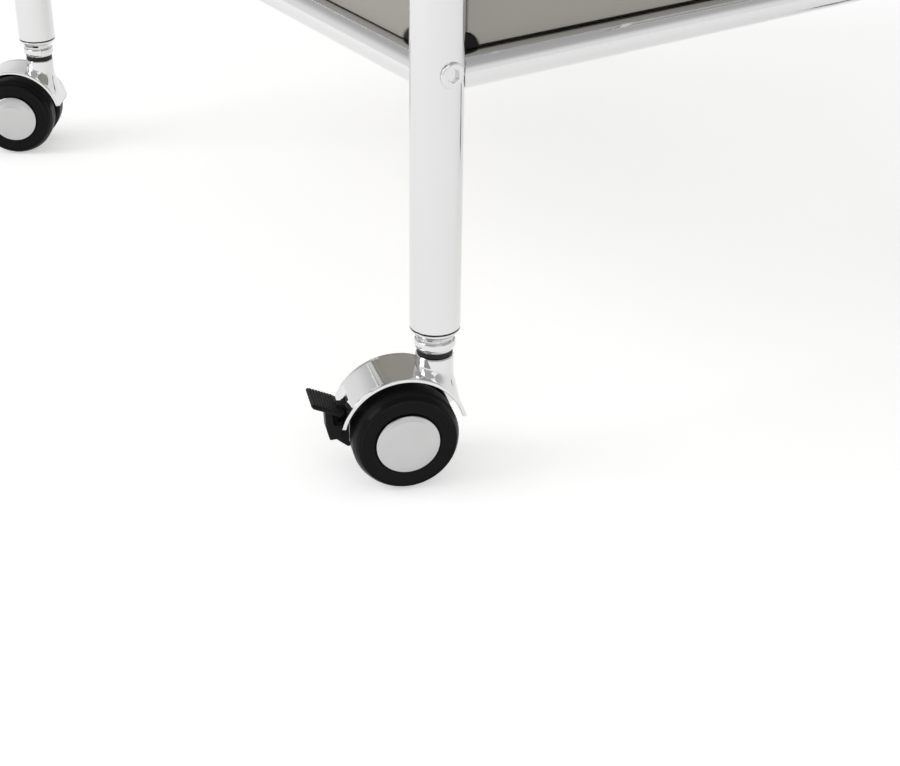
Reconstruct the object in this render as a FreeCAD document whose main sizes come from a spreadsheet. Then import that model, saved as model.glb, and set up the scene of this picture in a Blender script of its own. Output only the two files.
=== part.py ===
"""Spa trolley cart: bolted tube frame, steel panels, two drawers and four twin-wheel casters.

Frame of the model: +Z up, the drawers open towards -Y, the origin is on the floor
under the middle of the four legs. Every length is in millimetres, every angle in degrees.
"""
import FreeCAD
import Part
import math
import os
import Sketcher
from FreeCAD import Placement, Rotation, Vector

doc = FreeCAD.newDocument("SpaTrolley")

# ---------------------------------------------------------------- driving dimensions
DIMENSIONS = {
    # tube frame
    "frame_width": 472.0,        # between leg axes along X
    "frame_depth": 572.0,        # between leg axes along Y
    "leg_dia": 28.0,
    "leg_bore": 25.0,
    "leg_foot": 90.0,            # height of the leg's lower end
    "leg_head": 842.0,           # height of the leg's upper end
    "rail_dia": 19.0,
    "rail_bore": 16.0,
    "rail_gap": 14.2,            # radius of the round cut in a rail's end, about the leg's axis
    "rail_root": 9.0,            # from the leg's axis to the blank end of a rail
    "level_low": 231.0,          # heights of the three rail levels
    "level_mid": 531.0,
    "level_top": 821.0,
    # fixings inside the tubes
    "bolt_dia": 6.0,
    "bolt_clear": 6.6,
    "bolt_lift": 4.0,            # bolt's axis above the rail's axis
    "head_dia": 15.0,
    "head_rise": 3.2,
    "socket_flats": 5.0,
    "bolt_reach": 44.0,          # from the leg's surface to the bolt's tip
    "plug_dia": 15.9,
    "plug_length": 26.0,
    "spigot_dia": 12.0,
    "spigot_reach": 9.0,         # how far the spigot passes the leg's axis
    # folded steel panels
    "sheet": 1.0,
    "pan_depth": 14.0,
    "pan_lip": 16.0,
    "pan_gap_side": 24.5,        # from the leg's axis to a fixed panel's edge
    "pan_gap_rail": 9.8,         # from the rail's axis to a fixed panel's edge
    "notch_radius": 11.0,
    "notch_inset": 2.8,          # notch centre, beyond the panel's corner
    "deck_gap": 11.0,            # from the rail's axis to a deck's edge
    "deck_tall": 12.0,
    "deck_rise": 6.0,            # deck surface above the rail's axis
    "tray_rise": -4.0,           # the same for the sunk top deck
    "deck_notch": 17.5,
    "pad_length": 20.0,
    "pad_tall": 8.0,
    "block_play": 0.35,
    "block_depth": 12.0,
    "block_set": 0.6,            # how far a block stands behind the panel's face
    # drawers
    "front_gap_side": 18.1,
    "front_gap_rail": 10.9,
    "front_split": 3.0,          # gap between the two drawer fronts
    "drawer_half": 209.25,
    "drawer_length": 486.0,
    "drawer_height": 104.0,
    "drawer_sheet": 1.2,
    "drawer_lift": 12.0,         # drawer floor above its front's lower edge
    "pull_span": 128.0,
    "pull_dia": 10.0,
    "pull_standoff": 30.0,
    # runners
    "runner_length": 510.0,
    "runner_height": 40.0,       # runner's middle above the drawer's floor
    "runner_set": 14.0,          # runner's front end behind the drawer front
    "runner_tall": 45.0,
    "runner_wide": 12.7,
    "runner_steel": 1.2,
    "runner_play": 0.6,
    # casters, measured in the caster's own frame
    "wheel_dia": 60.0,
    "caster_trail": 20.0,
    "wheel_inner": 5.0,          # axial place of a wheel's inner and outer face
    "wheel_outer": 24.0,
    "axle_dia": 8.0,
    "axle_play": 0.05,
    "cap_dia": 36.0,
    "hood_inner": 33.8,
    "hood_outer": 35.8,
    "hood_half": 15.5,
    "hood_foot": 37.0,
    "web_half": 4.4,
    "web_end": 49.5,             # where the web stops behind a brake lever's body
    "slot_half": 3.2,
    "axle_half": 20.5,
    "neck_dia": 21.0,
    "neck_top": 72.6,
    "stem_dia": 11.0,
    "pin_foot": 58.0,            # height of the swivel pin's lower end
    "brake_pivot_x": 44.0,
    "brake_pivot_z": 28.0,
    "brake_pin_dia": 4.0,
    "brake_body_wide": 8.8,
    "brake_paddle_wide": 20.0,
}
sizes = doc.addObject("Spreadsheet::Sheet", "Sizes")
for row, (alias, value) in enumerate(DIMENSIONS.items(), start=1):
    sizes.set(f"A{row}", alias.replace("_", " "))
    sizes.set(f"B{row}", str(value))
    sizes.setAlias(f"B{row}", alias)
doc.recompute()

NODES = []


def size(alias):
    """Value of a driving dimension, for shapes set by code."""
    return float(getattr(sizes, alias))


def node(shape_object, name):
    """Register a finished sub-part under the name of its file."""
    shape_object.Label = name
    NODES.append(shape_object)
    return shape_object


def bind(thing, **expressions):
    """Bind properties of an object to expressions on the sheet."""
    for path, expression in expressions.items():
        thing.setExpression(path.replace("__", "."), expression)
    return thing


def at(thing, x="0", y="0", z="0"):
    """Place an object by three expressions."""
    return bind(thing, Placement__Base__x=x, Placement__Base__y=y, Placement__Base__z=z)


def box(name, length, width, height, x="0", y="0", z="0"):
    """A bound Part::Box with its low corner at x, y, z."""
    solid = doc.addObject("Part::Box", name)
    bind(solid, Length=length, Width=width, Height=height)
    return at(solid, x, y, z)


AXIS_TURN = {
    "X": Rotation(Vector(0, 1, 0), 90),
    "Y": Rotation(Vector(1, 0, 0), -90),
    "Z": Rotation(),
}


def rod(name, diameter, height, x="0", y="0", z="0", axis="Z"):
    """A bound Part::Cylinder that starts at x, y, z and runs along +axis."""
    solid = doc.addObject("Part::Cylinder", name)
    solid.Placement = Placement(Vector(), AXIS_TURN[axis])
    bind(solid, Radius=f"({diameter}) / 2", Height=height)
    return at(solid, x, y, z)


def cut(name, base, tools):
    """Base minus all the tools."""
    result = doc.addObject("Part::Cut", name)
    result.Base = base
    if len(tools) == 1:
        result.Tool = tools[0]
    else:
        joined = doc.addObject("Part::MultiFuse", name + "_tools")
        joined.Shapes = tools
        result.Tool = joined
    return result


def fuse(name, shapes):
    """Union of the shapes."""
    result = doc.addObject("Part::MultiFuse", name)
    result.Shapes = shapes
    result.Refine = True
    return result


def group(name, master, placements):
    """Identical pieces as one node of separate solids, copied from a master shape."""
    doc.recompute()
    result = doc.addObject("Part::Feature", name)
    copies = []
    for placement in placements:
        copy = master.Shape.copy()
        copy.Placement = placement.multiply(copy.Placement)
        copies.append(copy)
    result.Shape = Part.makeCompound(copies)
    return node(result, name)


def origin_plane(body, role):
    """One of a body's own origin planes."""
    return next(item for item in body.Origin.OriginFeatures if item.Role == role)


def outline(body, name, plane, points):
    """A closed sketch of straight edges whose corners are bound to expressions.

    A corner coordinate of "0" is held on the sketch's axis, any other by a distance.
    """
    sketch = body.newObject("Sketcher::SketchObject", name)
    sketch.AttachmentSupport = [(origin_plane(body, plane), "")]
    sketch.MapMode = "FlatFace"
    count = len(points)
    corners = []
    for index in range(count):
        angle = 2 * math.pi * index / count
        corners.append(Vector(20 + 10 * math.cos(angle), 20 + 10 * math.sin(angle), 0))
    for index in range(count):
        sketch.addGeometry(Part.LineSegment(corners[index], corners[(index + 1) % count]), False)
    for index in range(count):
        sketch.addConstraint(Sketcher.Constraint("Coincident", index, 2, (index + 1) % count, 1))
    for index, (across, along) in enumerate(points):
        for kind, expression, axis, start in (
            ("DistanceX", across, -2, corners[index].x),
            ("DistanceY", along, -1, corners[index].y),
        ):
            if expression == "0":
                sketch.addConstraint(Sketcher.Constraint("PointOnObject", index, 1, axis))
                continue
            number = sketch.addConstraint(Sketcher.Constraint(kind, -1, 1, index, 1, start))
            sketch.renameConstraint(number, f"{kind}_{index}")
            sketch.setExpression(f"Constraints.{kind}_{index}", expression)
    return sketch


def revolved(name, points):
    """A PartDesign body turned about Z from an outline of radius and height expressions."""
    body = doc.addObject("PartDesign::Body", name)
    sketch = outline(body, name + "_profile", "XZ_Plane", points)
    turn = body.newObject("PartDesign::Revolution", name + "_turned")
    turn.Profile = sketch
    turn.ReferenceAxis = (sketch, ["V_Axis"])
    turn.Angle = 360.0
    body.Tip = turn
    return body


def padded(name, points, thickness):
    """A PartDesign body padded to both sides of the XZ plane."""
    body = doc.addObject("PartDesign::Body", name)
    sketch = outline(body, name + "_profile", "XZ_Plane", points)
    pad = body.newObject("PartDesign::Pad", name + "_pad")
    pad.Profile = sketch
    pad.Midplane = True
    pad.setExpression("Length", thickness)
    body.Tip = pad
    return body


def copy_of(name, master, placement):
    """One piece as a node, copied from a master shape."""
    return group(name, master, [placement])


# ---------------------------------------------------------------- where things stand
SIDES = {-1: "left", 1: "right"}
ENDS = {-1: "front", 1: "back"}
CORNERS = [(sx, sy) for sy in (-1, 1) for sx in (-1, 1)]
LEVELS = ("low", "mid", "top")
# Direction in which each caster trails, in degrees from +X.
TRAIL = {(-1, -1): 160.0, (-1, 1): 145.0, (1, 1): 340.0, (1, -1): 325.0}
BRAKED = [(-1, -1), (1, 1)]

half_width = size("frame_width") / 2
half_depth = size("frame_depth") / 2
level = {name: size("level_" + name) for name in LEVELS}


def corner_name(sx, sy):
    """Name of a corner of the cart, such as front_left."""
    return f"{ENDS[sy]}_{SIDES[sx]}"


# ---------------------------------------------------------------- legs
def make_leg(sx, sy):
    """A leg tube with its cross holes at the three rail levels."""
    name = f"leg_{corner_name(sx, sy)}"
    x = f"{sx} * Sizes.frame_width / 2"
    y = f"{sy} * Sizes.frame_depth / 2"
    run = "Sizes.leg_head - Sizes.leg_foot"
    tube = rod(name + "_tube", "Sizes.leg_dia", run, x, y, "Sizes.leg_foot")
    tools = [rod(name + "_bore", "Sizes.leg_bore", run, x, y, "Sizes.leg_foot")]
    inward = x if sx < 0 else x + " - Sizes.leg_dia"
    for floor in LEVELS:
        z = f"Sizes.level_{floor}"
        tools.append(rod(f"{name}_{floor}_bolt_hole", "Sizes.bolt_clear", "2 * Sizes.leg_dia",
                         x, y + " - Sizes.leg_dia", z + " + Sizes.bolt_lift", "Y"))
        tools.append(rod(f"{name}_{floor}_spigot_hole", "Sizes.spigot_dia + 0.3", "Sizes.leg_dia",
                         inward, y, z, "X"))
    node(cut(name, tube, tools), name)


for corner in CORNERS:
    make_leg(*corner)


# ---------------------------------------------------------------- rails
def make_saddles(floor):
    """Upright rods that shape the rails' ends at one level to the round of the legs."""
    saddles = []
    for sx, sy in CORNERS:
        saddles.append(rod(f"{floor}_saddle_{corner_name(sx, sy)}", "2 * Sizes.rail_gap",
                           "2 * Sizes.rail_dia", f"{sx} * Sizes.frame_width / 2",
                           f"{sy} * Sizes.frame_depth / 2",
                           f"Sizes.level_{floor} - Sizes.rail_dia"))
    return saddles


def make_rails(floor):
    """The four rails of one level: two across the cart and two along it."""
    z = f"Sizes.level_{floor}"
    saddles = make_saddles(floor)
    rails = []
    for sign in (-1, 1):
        cross_start = "-Sizes.frame_width / 2 + Sizes.rail_root"
        cross_run = "Sizes.frame_width - 2 * Sizes.rail_root"
        cross_y = f"{sign} * Sizes.frame_depth / 2"
        name = f"{floor}_{ENDS[sign]}_rail"
        outer = rod(name + "_tube", "Sizes.rail_dia", cross_run, cross_start, cross_y, z, "X")
        inner = rod(name + "_bore", "Sizes.rail_bore", cross_run, cross_start, cross_y, z, "X")
        rails.append(cut(name, outer, [inner] + saddles))
        side_start = "-Sizes.frame_depth / 2 + Sizes.rail_root"
        side_run = "Sizes.frame_depth - 2 * Sizes.rail_root"
        side_x = f"{sign} * Sizes.frame_width / 2"
        name = f"{floor}_{SIDES[sign]}_rail"
        outer = rod(name + "_tube", "Sizes.rail_dia", side_run, side_x, side_start, z, "Y")
        inner = rod(name + "_bore", "Sizes.rail_bore", side_run, side_x, side_start, z, "Y")
        rails.append(cut(name, outer, [inner] + saddles))
    compound = doc.addObject("Part::Compound", f"{floor}_rails")
    compound.Links = rails
    node(compound, f"{floor}_rails")


for floor_name in LEVELS:
    make_rails(floor_name)

crossings = [(sx, sy, level[floor]) for floor in LEVELS for sx, sy in CORNERS]


def half_turn(backwards):
    """No turn, or half a turn about Z."""
    return Rotation(Vector(0, 0, 1), 180 if backwards else 0)


# Threaded plug in each end of a side rail, drawn along +Y from the leg's axis.
plug_body = rod("plug_body", "Sizes.plug_dia", "Sizes.plug_length", "0", "Sizes.rail_gap", "0", "Y")
plug_thread = rod("plug_thread", "Sizes.bolt_dia + 0.1", "Sizes.plug_length",
                  "0", "Sizes.rail_gap", "Sizes.bolt_lift", "Y")
plug = cut("plug", plug_body, [plug_thread])
group("rail_plugs", plug, [Placement(Vector(sx * half_width, sy * half_depth, z), half_turn(sy > 0))
                           for sx, sy, z in crossings])

# Spigot in each end of a cross rail, drawn along +X: it enters the leg, and the bolt crosses
# it in a notch along its top.
spigot_plug = rod("spigot_plug", "Sizes.plug_dia", "Sizes.plug_length", "Sizes.rail_gap",
                  "0", "0", "X")
spigot_rod = rod("spigot_rod", "Sizes.spigot_dia", "Sizes.spigot_reach + Sizes.rail_gap + 1",
                 "-Sizes.spigot_reach", "0", "0", "X")
spigot_cross = rod("spigot_cross", "Sizes.bolt_dia + 0.2", "Sizes.leg_dia",
                   "0", "-Sizes.leg_dia / 2", "Sizes.bolt_lift", "Y")
spigot = cut("spigot", fuse("spigot_solid", [spigot_plug, spigot_rod]), [spigot_cross])
group("rail_spigots", spigot,
      [Placement(Vector(sx * half_width, sy * half_depth, z), half_turn(sx > 0))
       for sx, sy, z in crossings])

# Button-head bolt, drawn with its head above the XY plane.
bolt_turned = revolved("bolt_turned", [
    ("0", "-Sizes.bolt_reach"),
    ("Sizes.bolt_dia / 2 - 0.7", "-Sizes.bolt_reach"),
    ("Sizes.bolt_dia / 2", "-Sizes.bolt_reach + 0.7"),
    ("Sizes.bolt_dia / 2", "0"),
    ("Sizes.head_dia / 2", "0"),
    ("Sizes.head_dia / 2", "1.2"),
    ("Sizes.head_dia / 2 - 0.9", "Sizes.head_rise - 0.8"),
    ("Sizes.head_dia / 2 - 2.8", "Sizes.head_rise"),
    ("0", "Sizes.head_rise"),
])
hex_socket = doc.addObject("Part::Prism", "hex_socket")
hex_socket.Polygon = 6
bind(hex_socket, Circumradius="Sizes.socket_flats / sqrt(3)", Height="Sizes.head_rise")
at(hex_socket, "0", "0", "Sizes.head_rise - 2.6")
bolt = cut("bolt", bolt_turned, [hex_socket])
head_seat = size("leg_dia") / 2 + 0.05
group("frame_bolts", bolt,
      [Placement(Vector(sx * half_width, sy * (half_depth + head_seat), z + size("bolt_lift")),
                 Rotation(Vector(1, 0, 0), -90 * sy))
       for sx, sy, z in crossings])

# ---------------------------------------------------------------- leg ends
leg_cap = revolved("leg_cap", [
    ("0", "-12"),
    ("Sizes.leg_bore / 2 - 0.1", "-12"),
    ("Sizes.leg_bore / 2 - 0.1", "0"),
    ("Sizes.leg_dia / 2", "0"),
    ("Sizes.leg_dia / 2", "1.4"),
    ("Sizes.leg_dia / 2 - 1.6", "3.0"),
    ("Sizes.leg_dia / 2 - 5", "3.8"),
    ("0", "4.2"),
])
group("leg_caps", leg_cap,
      [Placement(Vector(sx * half_width, sy * half_depth, size("leg_head")), Rotation())
       for sx, sy in CORNERS])

# Caster stem: a plug in the leg's foot, a lip, a groove and a collar, then the swivel pin.
stem = revolved("stem", [
    ("0", "Sizes.pin_foot"),
    ("Sizes.stem_dia / 2", "Sizes.pin_foot"),
    ("Sizes.stem_dia / 2", "76.2"),
    ("10.4", "76.2"),
    ("11.3", "77.2"),
    ("11.5", "79.4"),
    ("11.2", "81.6"),
    ("9.4", "82.2"),
    ("9.4", "83.4"),
    ("11.0", "84.2"),
    ("12.0", "86.6"),
    ("13.2", "Sizes.leg_foot - 0.2"),
    ("13.2", "Sizes.leg_foot"),
    ("Sizes.leg_bore / 2 - 0.1", "Sizes.leg_foot"),
    ("Sizes.leg_bore / 2 - 0.1", "Sizes.leg_foot + 35"),
    ("0", "Sizes.leg_foot + 35"),
])
corner_spots = [Placement(Vector(sx * half_width, sy * half_depth, 0), Rotation())
                for sx, sy in CORNERS]
group("caster_stems", stem, corner_spots)
stem_ring = revolved("stem_ring", [
    ("Sizes.stem_dia / 2 + 0.1", "Sizes.neck_top + 0.4"),
    ("9.5", "Sizes.neck_top + 0.4"),
    ("9.9", "Sizes.neck_top + 0.8"),
    ("9.9", "75.8"),
    ("9.5", "76.2"),
    ("Sizes.stem_dia / 2 + 0.1", "76.2"),
])
group("caster_rings", stem_ring, corner_spots)


# ---------------------------------------------------------------- folded panels
def folded_pan(name, wide, high, deep, notches):
    """A shallow tray of sheet steel with a lip folded in along its open back.

    Drawn with its face on the XZ plane at y = 0, its low corner at the origin and its
    back towards +Y. notches lists the corners, as pairs of 0 or 1, that are cut round.
    """
    t = "Sizes.sheet"
    lip = "Sizes.pan_lip"
    shell = box(name + "_shell", wide, deep, high)
    cavity = box(name + "_cavity", f"{wide} - 2 * {t}", f"{deep} - 2 * {t}", f"{high} - 2 * {t}",
                 t, t, t)
    window = box(name + "_window", f"{wide} - 2 * {lip}", deep, f"{high} - 2 * {lip}",
                 lip, t, lip)
    tools = [cavity, window]
    for right, upper in notches:
        x = f"{wide} + Sizes.notch_inset" if right else "-Sizes.notch_inset"
        z = f"{high} + Sizes.notch_inset" if upper else "-Sizes.notch_inset"
        tools.append(rod(f"{name}_notch_{right}{upper}", "2 * Sizes.notch_radius",
                         f"{deep} + 2 * {t}", x, f"-{t}", z, "Y"))
    return cut(name, shell, tools)


FOUR = [(0, 0), (1, 0), (0, 1), (1, 1)]
panel_high = "(Sizes.level_mid - Sizes.level_low - 2 * Sizes.pan_gap_rail)"
side_wide = "(Sizes.frame_depth - 2 * Sizes.pan_gap_side)"
back_wide = "(Sizes.frame_width - 2 * Sizes.pan_gap_side)"
panel_foot = "Sizes.level_low + Sizes.pan_gap_rail"

side_left = folded_pan("side_panel_left", side_wide, panel_high, "Sizes.pan_depth", FOUR)
side_left.Placement = Placement(Vector(), Rotation(Vector(0, 0, 1), -90))
at(side_left, "-Sizes.frame_width / 2", f"{side_wide} / 2", panel_foot)
node(side_left, "side_panel_left")

side_right = folded_pan("side_panel_right", side_wide, panel_high, "Sizes.pan_depth", FOUR)
side_right.Placement = Placement(Vector(), Rotation(Vector(0, 0, 1), 90))
at(side_right, "Sizes.frame_width / 2", f"-{side_wide} / 2", panel_foot)
node(side_right, "side_panel_right")

back = folded_pan("back_panel", back_wide, panel_high, "Sizes.pan_depth", FOUR)
back.Placement = Placement(Vector(), Rotation(Vector(0, 0, 1), 180))
at(back, f"{back_wide} / 2", "Sizes.frame_depth / 2", panel_foot)
node(back, "back_panel")


# ---------------------------------------------------------------- decks
def make_deck(name, floor, rise):
    """A horizontal pan between four rails, its corners cut round the legs."""
    t = "Sizes.sheet"
    lip = "Sizes.pan_lip"
    wide = "(Sizes.frame_width - 2 * Sizes.deck_gap)"
    deep = "(Sizes.frame_depth - 2 * Sizes.deck_gap)"
    tall = "Sizes.deck_tall"
    foot = f"Sizes.level_{floor} + {rise} - {tall}"
    shell = box(name + "_shell", wide, deep, tall, f"-{wide} / 2", f"-{deep} / 2", foot)
    cavity = box(name + "_cavity", f"{wide} - 2 * {t}", f"{deep} - 2 * {t}", f"{tall} - 2 * {t}",
                 f"-{wide} / 2 + {t}", f"-{deep} / 2 + {t}", f"{foot} + {t}")
    window = box(name + "_window", f"{wide} - 2 * {lip}", f"{deep} - 2 * {lip}", f"{tall} - {t}",
                 f"-{wide} / 2 + {lip}", f"-{deep} / 2 + {lip}", foot)
    tools = [cavity, window]
    for sx, sy in CORNERS:
        tools.append(rod(f"{name}_notch_{corner_name(sx, sy)}", "2 * Sizes.deck_notch",
                         f"{tall} + 2 * {t}", f"{sx} * Sizes.frame_width / 2",
                         f"{sy} * Sizes.frame_depth / 2", f"{foot} - {t}"))
    node(cut(name, shell, tools), name)


make_deck("floor_deck", "low", "Sizes.deck_rise")
make_deck("shelf_deck", "mid", "Sizes.deck_rise")
make_deck("top_deck", "top", "Sizes.tray_rise")

# Grip pads between a deck's edge flange and the rails, two on each side of each deck.
pad_block = box("pad_block", "Sizes.pad_length", "Sizes.deck_gap - Sizes.rail_dia / 2 - 0.1",
                "Sizes.pad_tall", "-Sizes.pad_length / 2", "0.05", "-Sizes.pad_tall / 2")
pad_spots = []
for floor_name in LEVELS:
    height = level[floor_name]
    for sign in (-1, 1):
        for share in (-0.6, 0.6):
            edge = half_depth - size("deck_gap")
            turn = Rotation(Vector(0, 0, 1), 0 if sign > 0 else 180)
            pad_spots.append(Placement(Vector(share * half_width, sign * edge, height), turn))
            edge = half_width - size("deck_gap")
            turn = Rotation(Vector(0, 0, 1), -90 * sign)
            pad_spots.append(Placement(Vector(sign * edge, share * half_depth, height), turn))
group("deck_pads", pad_block, pad_spots)


# ---------------------------------------------------------------- corner blocks
def make_block(name, gap_leg, gap_rail):
    """Rounded block in the corner of a leg and a rail, filling a panel's notch.

    Drawn with the leg's axis at the origin, the rail along +X and up along +Z, and its
    thickness along +Y. The round follows the notch with a little play.
    """
    radius = "(Sizes.notch_radius - Sizes.block_play)"
    centre_x = f"({gap_leg} - Sizes.notch_inset)"
    centre_z = f"({gap_rail} - Sizes.notch_inset)"
    reach = f"{centre_x} + {radius} - Sizes.rail_gap"
    rise = f"{centre_z} + {radius} - {BLOCK_FOOT}"
    disc = rod(name + "_round", f"2 * {radius}", "Sizes.block_depth", centre_x, "Sizes.block_set",
               centre_z, "Y")
    heel = box(name + "_heel", f"{centre_x} - Sizes.rail_gap", "Sizes.block_depth", rise,
               "Sizes.rail_gap", "Sizes.block_set", BLOCK_FOOT)
    bound = box(name + "_bound", reach, "Sizes.block_depth", rise,
                "Sizes.rail_gap", "Sizes.block_set", BLOCK_FOOT)
    kept = doc.addObject("Part::Common", name)
    kept.Base = fuse(name + "_solid", [disc, heel])
    kept.Tool = bound
    return kept


BLOCK_FOOT = "(Sizes.rail_dia / 2 + 0.05)"
fixed_block = make_block("fixed_block", "Sizes.pan_gap_side", "Sizes.pan_gap_rail")
front_block = make_block("front_block", "Sizes.front_gap_side", "Sizes.front_gap_rail")


def block_copies(master, plane_turn, origin, width):
    """Four copies of a block, one in each corner of a panel that stands on plane_turn."""
    copies = []
    high = level["mid"] - level["low"]
    for right in (False, True):
        for upper in (False, True):
            shape = master.Shape.copy()
            if right:
                shape = shape.mirror(Vector(width / 2, 0, 0), Vector(1, 0, 0))
            if upper:
                shape = shape.mirror(Vector(0, 0, high / 2), Vector(0, 0, 1))
            shape.Placement = Placement(origin, plane_turn).multiply(shape.Placement)
            copies.append(shape)
    return copies


doc.recompute()
low = level["low"]
wide = size("frame_width")
deep = size("frame_depth")
pieces = []
pieces += block_copies(front_block, half_turn(False), Vector(-half_width, -half_depth, low), wide)
pieces += block_copies(fixed_block, half_turn(True), Vector(half_width, half_depth, low), wide)
pieces += block_copies(fixed_block, Rotation(Vector(0, 0, 1), -90),
                       Vector(-half_width, half_depth, low), deep)
pieces += block_copies(fixed_block, Rotation(Vector(0, 0, 1), 90),
                       Vector(half_width, -half_depth, low), deep)
corner_blocks = doc.addObject("Part::Feature", "corner_blocks")
corner_blocks.Shape = Part.makeCompound(pieces)
node(corner_blocks, "corner_blocks")

# ---------------------------------------------------------------- drawers and runners
front_high = ("((Sizes.level_mid - Sizes.level_low - 2 * Sizes.front_gap_rail"
              " - Sizes.front_split) / 2)")
front_wide = "(Sizes.frame_width - 2 * Sizes.front_gap_side)"
drawer_foot = {
    "lower": "(Sizes.level_low + Sizes.front_gap_rail)",
    "upper": f"(Sizes.level_low + Sizes.front_gap_rail + {front_high} + Sizes.front_split)",
}
drawer_notches = {"lower": [(0, 0), (1, 0)], "upper": [(0, 1), (1, 1)]}
front_face = "-Sizes.frame_depth / 2"
runner_face = "(Sizes.frame_width / 2 - Sizes.pan_depth)"


def channel(name, sign, web_x, reach, tall, start, run, mid_z, opens_out):
    """A C-shaped runner member along Y, with its web on the far or the near side.

    web_x is the web's outer face, reach the member's width and mid_z its middle height.
    """
    t = "Sizes.runner_steel"
    inner_x = f"({web_x} - {reach})"
    low_x = inner_x if sign > 0 else f"-{web_x}"
    body = box(name + "_body", reach, run, tall, low_x, start, f"{mid_z} - {tall} / 2")
    web_far = not opens_out
    hollow_low = inner_x if web_far else f"({inner_x} + {t})"
    hollow_x = hollow_low if sign > 0 else f"-({hollow_low} + {reach} - {t})"
    hollow = box(name + "_hollow", f"{reach} - {t}", run, f"{tall} - 2 * {t}", hollow_x, start,
                 f"{mid_z} - {tall} / 2 + {t}")
    return cut(name, body, [hollow])


def pair(name, members):
    """A node of separate members."""
    compound = doc.addObject("Part::Compound", name)
    compound.Links = members
    node(compound, name)


def make_drawer(place):
    """A drawer: folded front, bar pull, steel box, and its moving runner members."""
    foot = drawer_foot[place]
    front = folded_pan(f"{place}_front", front_wide, front_high, "Sizes.pan_depth",
                       drawer_notches[place])
    at(front, f"-{front_wide} / 2", front_face, foot)
    node(front, f"{place}_drawer_front")

    t = "Sizes.drawer_sheet"
    half = "Sizes.drawer_half"
    box_y = f"({front_face} + Sizes.pan_depth)"
    box_z = f"({foot} + Sizes.drawer_lift)"
    outer = box(f"{place}_box_shell", f"2 * {half}", "Sizes.drawer_length", "Sizes.drawer_height",
                f"-{half}", box_y, box_z)
    inner = box(f"{place}_box_hollow", f"2 * {half} - 2 * {t}", f"Sizes.drawer_length - 2 * {t}",
                "Sizes.drawer_height", f"-{half} + {t}", f"{box_y} + {t}", f"{box_z} + {t}")
    node(cut(f"{place}_box", outer, [inner]), f"{place}_drawer_box")

    pull_z = f"{foot} + {front_high} / 2"
    pull_y = f"{front_face} - Sizes.pull_standoff"
    bar = rod(f"{place}_pull_bar", "Sizes.pull_dia", "Sizes.pull_span + 2 * Sizes.pull_dia",
              "-Sizes.pull_span / 2 - Sizes.pull_dia", pull_y, pull_z, "X")
    posts = []
    for sign in (-1, 1):
        posts.append(rod(f"{place}_pull_post_{SIDES[sign]}", "Sizes.pull_dia - 2",
                         "Sizes.pull_standoff - 0.02", f"{sign} * Sizes.pull_span / 2", pull_y,
                         pull_z, "Y"))
    node(fuse(f"{place}_pull", [bar] + posts), f"{place}_drawer_pull")

    mid_z = f"({box_z} + Sizes.runner_height)"
    step = "(Sizes.runner_steel + Sizes.runner_play)"
    start = f"{box_y} + Sizes.runner_set"
    middle = []
    inner_members = []
    for sign in (-1, 1):
        side = SIDES[sign]
        middle.append(channel(f"{place}_middle_{side}", sign, f"({runner_face} - {step})",
                              f"(Sizes.runner_wide - {step} - 2.1)",
                              f"(Sizes.runner_tall - 2 * {step})", start,
                              "Sizes.runner_length - 20", mid_z, False))
        inner_members.append(channel(f"{place}_inner_{side}", sign,
                                     f"({runner_face} - 2 * {step})",
                                     f"(Sizes.runner_wide - 2 * {step})",
                                     f"(Sizes.runner_tall - 4 * {step})", start,
                                     "Sizes.runner_length - 40", mid_z, True))
    pair(f"{place}_runner_middle", middle)
    pair(f"{place}_runner_inner", inner_members)
    fixed = []
    for sign in (-1, 1):
        fixed.append(channel(f"{place}_fixed_{SIDES[sign]}", sign, runner_face,
                             "(Sizes.runner_wide - 1.6)", "Sizes.runner_tall", start,
                             "Sizes.runner_length", mid_z, False))
    return fixed


fixed_members = make_drawer("lower") + make_drawer("upper")
pair("runner_fixed", fixed_members)

# ---------------------------------------------------------------- casters
# Drawn in the caster's own frame: the swivel axis is Z, the floor is z = 0 and the
# wheels trail towards +X, so the axle lies along Y at x = caster_trail.
axle_x = "Sizes.caster_trail"
axle_z = "(Sizes.wheel_dia / 2)"


def axial(name, diameter, half):
    """A cylinder on the axle's line, reaching half to each side."""
    return rod(name, diameter, f"2 * {half}", axle_x, f"-{half}", axle_z, "Y")


band = cut("hood_band", axial("hood_band_outer", "2 * Sizes.hood_outer", "Sizes.hood_half"),
           [box("hood_band_floor", "4 * Sizes.hood_outer", "4 * Sizes.hood_half", "60",
                "-2 * Sizes.hood_outer", "-2 * Sizes.hood_half", "Sizes.hood_foot - 60")])
neck = rod("hood_neck", "Sizes.neck_dia", "Sizes.neck_top - Sizes.hood_foot", "0", "0",
           "Sizes.hood_foot")
shell = cut("hood_shell", fuse("hood_outside", [band, neck]),
            [axial("hood_wheel_room", "2 * Sizes.hood_inner", "(2 * Sizes.hood_half)")])
web = cut("hood_web", axial("hood_web_disc", "2 * Sizes.hood_inner + 0.8", "Sizes.web_half"),
          [box("hood_web_floor", "4 * Sizes.hood_outer", "2 * Sizes.hood_half", "60",
               "-2 * Sizes.hood_outer", "-Sizes.hood_half", f"{axle_z} - 69")])
brake_slot = box("hood_brake_slot", "40", "2 * Sizes.slot_half", "42",
                 "Sizes.brake_pivot_x - 8", "-Sizes.slot_half", "8")
brake_room = box("hood_brake_room", "40", "4 * Sizes.web_half", "Sizes.hood_foot - 8.1",
                 "Sizes.web_end", "-2 * Sizes.web_half", "8")
hood_solid = fuse("hood_solid", [shell, web])
hood_bore = rod("hood_bore", "Sizes.stem_dia + 0.1", "Sizes.neck_top", "0", "0",
                "Sizes.pin_foot - 1")
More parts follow.
